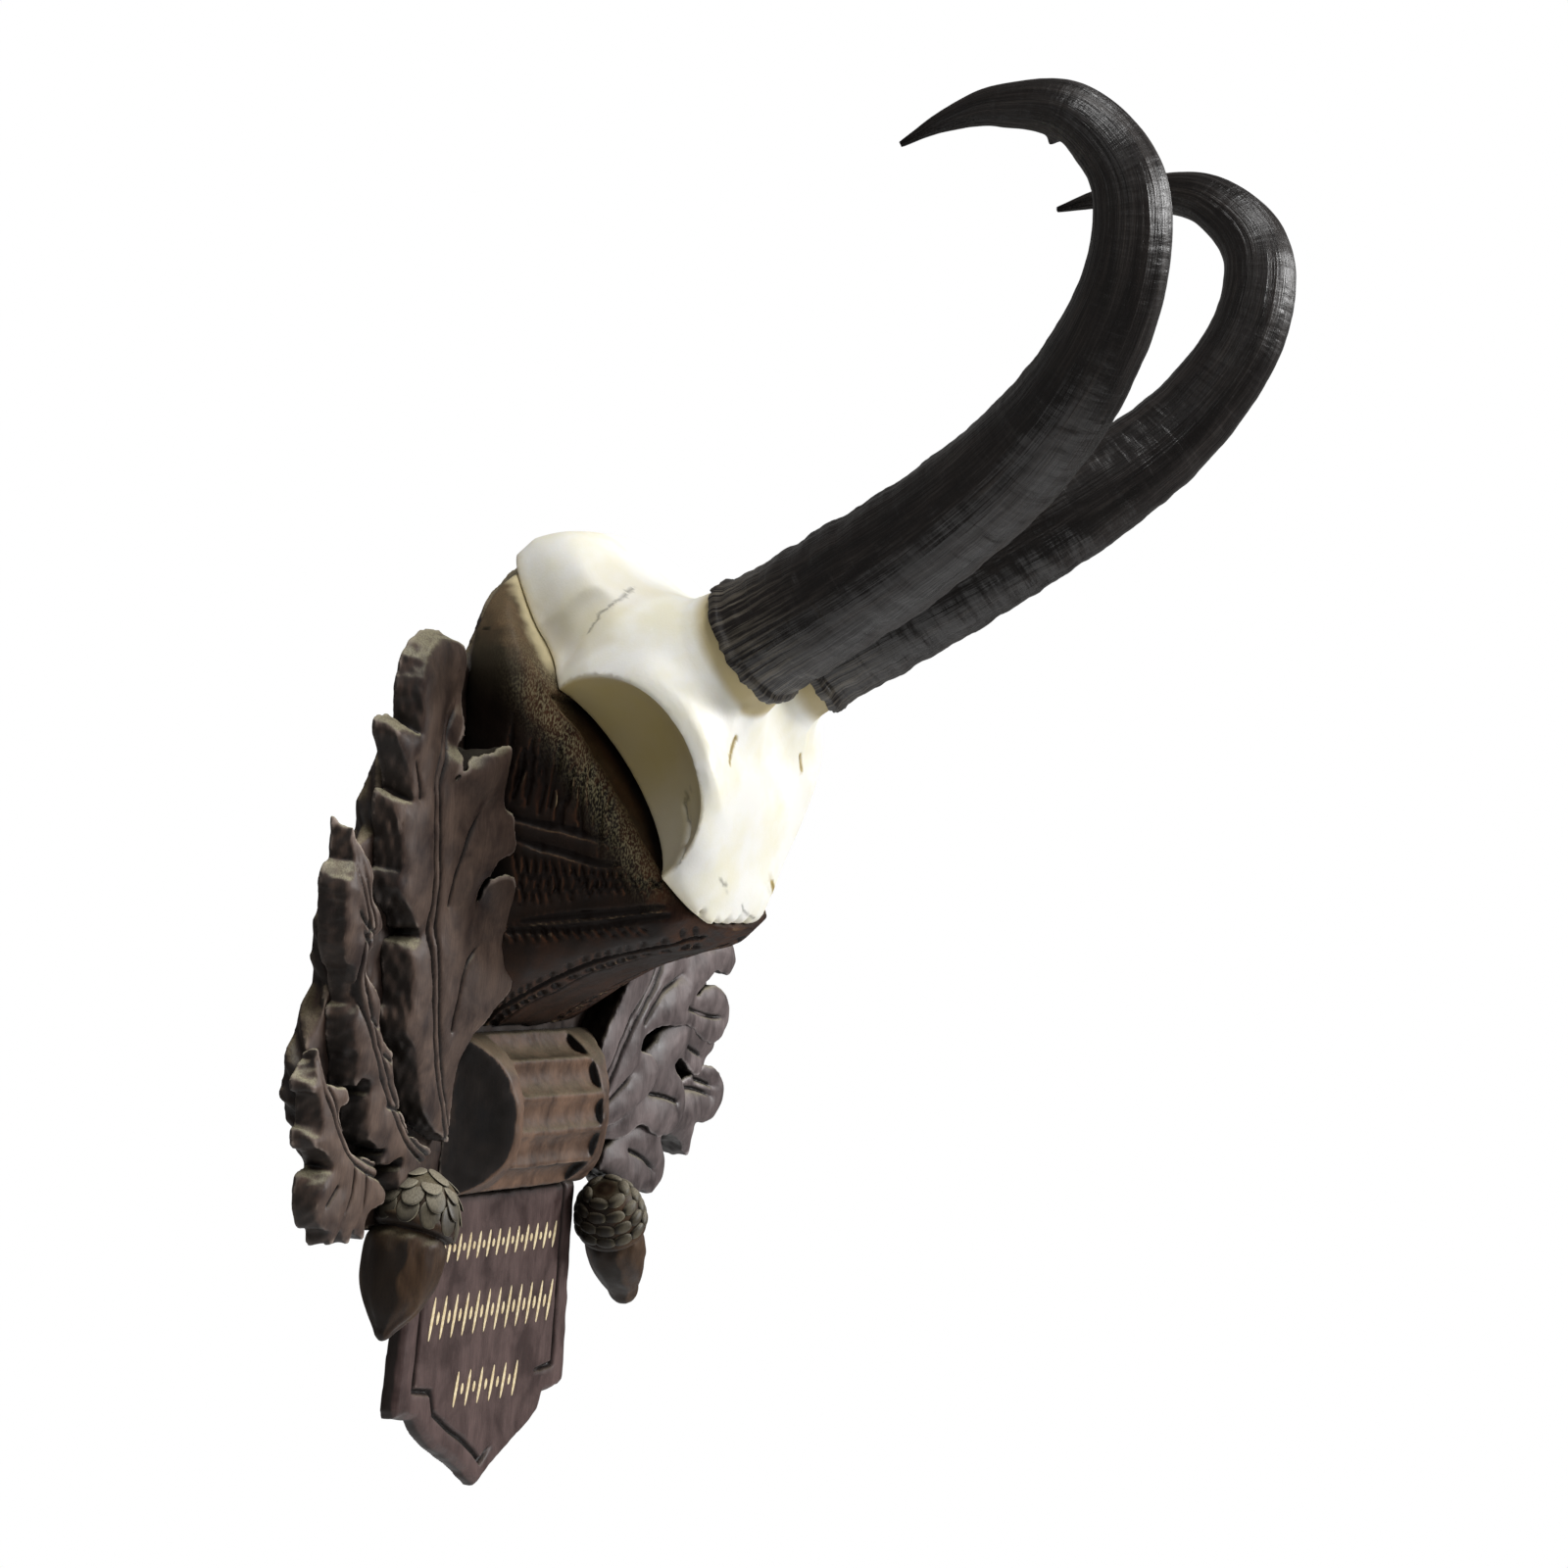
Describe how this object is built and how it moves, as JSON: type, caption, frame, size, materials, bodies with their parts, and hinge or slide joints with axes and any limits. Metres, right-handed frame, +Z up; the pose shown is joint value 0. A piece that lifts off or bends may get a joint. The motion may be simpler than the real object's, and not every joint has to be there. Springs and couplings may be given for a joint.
{
  "type": "chamois horn mount",
  "caption": "Horned chamois skull cap on the sloping seat of a carved wooden wall board with oak leaves, acorns, a fluted scroll and a bare name plate.",
  "frame": {"origin": "on the flat back of the board, in the mirror plane of the skull, 47 mm above the board's lowest point", "axes": "+X to the viewer's right as seen from the front, +Y into the wall, +Z up"},
  "size_m": [0.1994, 0.148, 0.2983],
  "materials": {
    "board_wood": "carved, dark stained, satin",
    "seat_wood": "carved, dark stained, worn",
    "leaf_wood": "carved, dark stained, worn on the high points",
    "plate_wood": "sawn, dark stained, satin",
    "acorn_wood": "carved, dark stained",
    "bone": "dry, bleached bone",
    "horn": "dark horn, satin with a worn gloss"
  },
  "bodies": {
    "root": {"leaf_left_tall": "leaf_wood", "leaf_left_middle": "leaf_wood", "leaf_left_low": "leaf_wood", "leaf_right_tall": "leaf_wood", "leaf_right_middle": "leaf_wood", "leaf_right_low": "leaf_wood", "acorn_left": "acorn_wood", "acorn_right": "acorn_wood", "board": "board_wood", "name_plate": "plate_wood", "scroll": "board_wood", "skull_seat": "seat_wood", "skull_cap": "bone", "horn_left": "horn", "horn_right": "horn"}
  },
  "joints": []
}
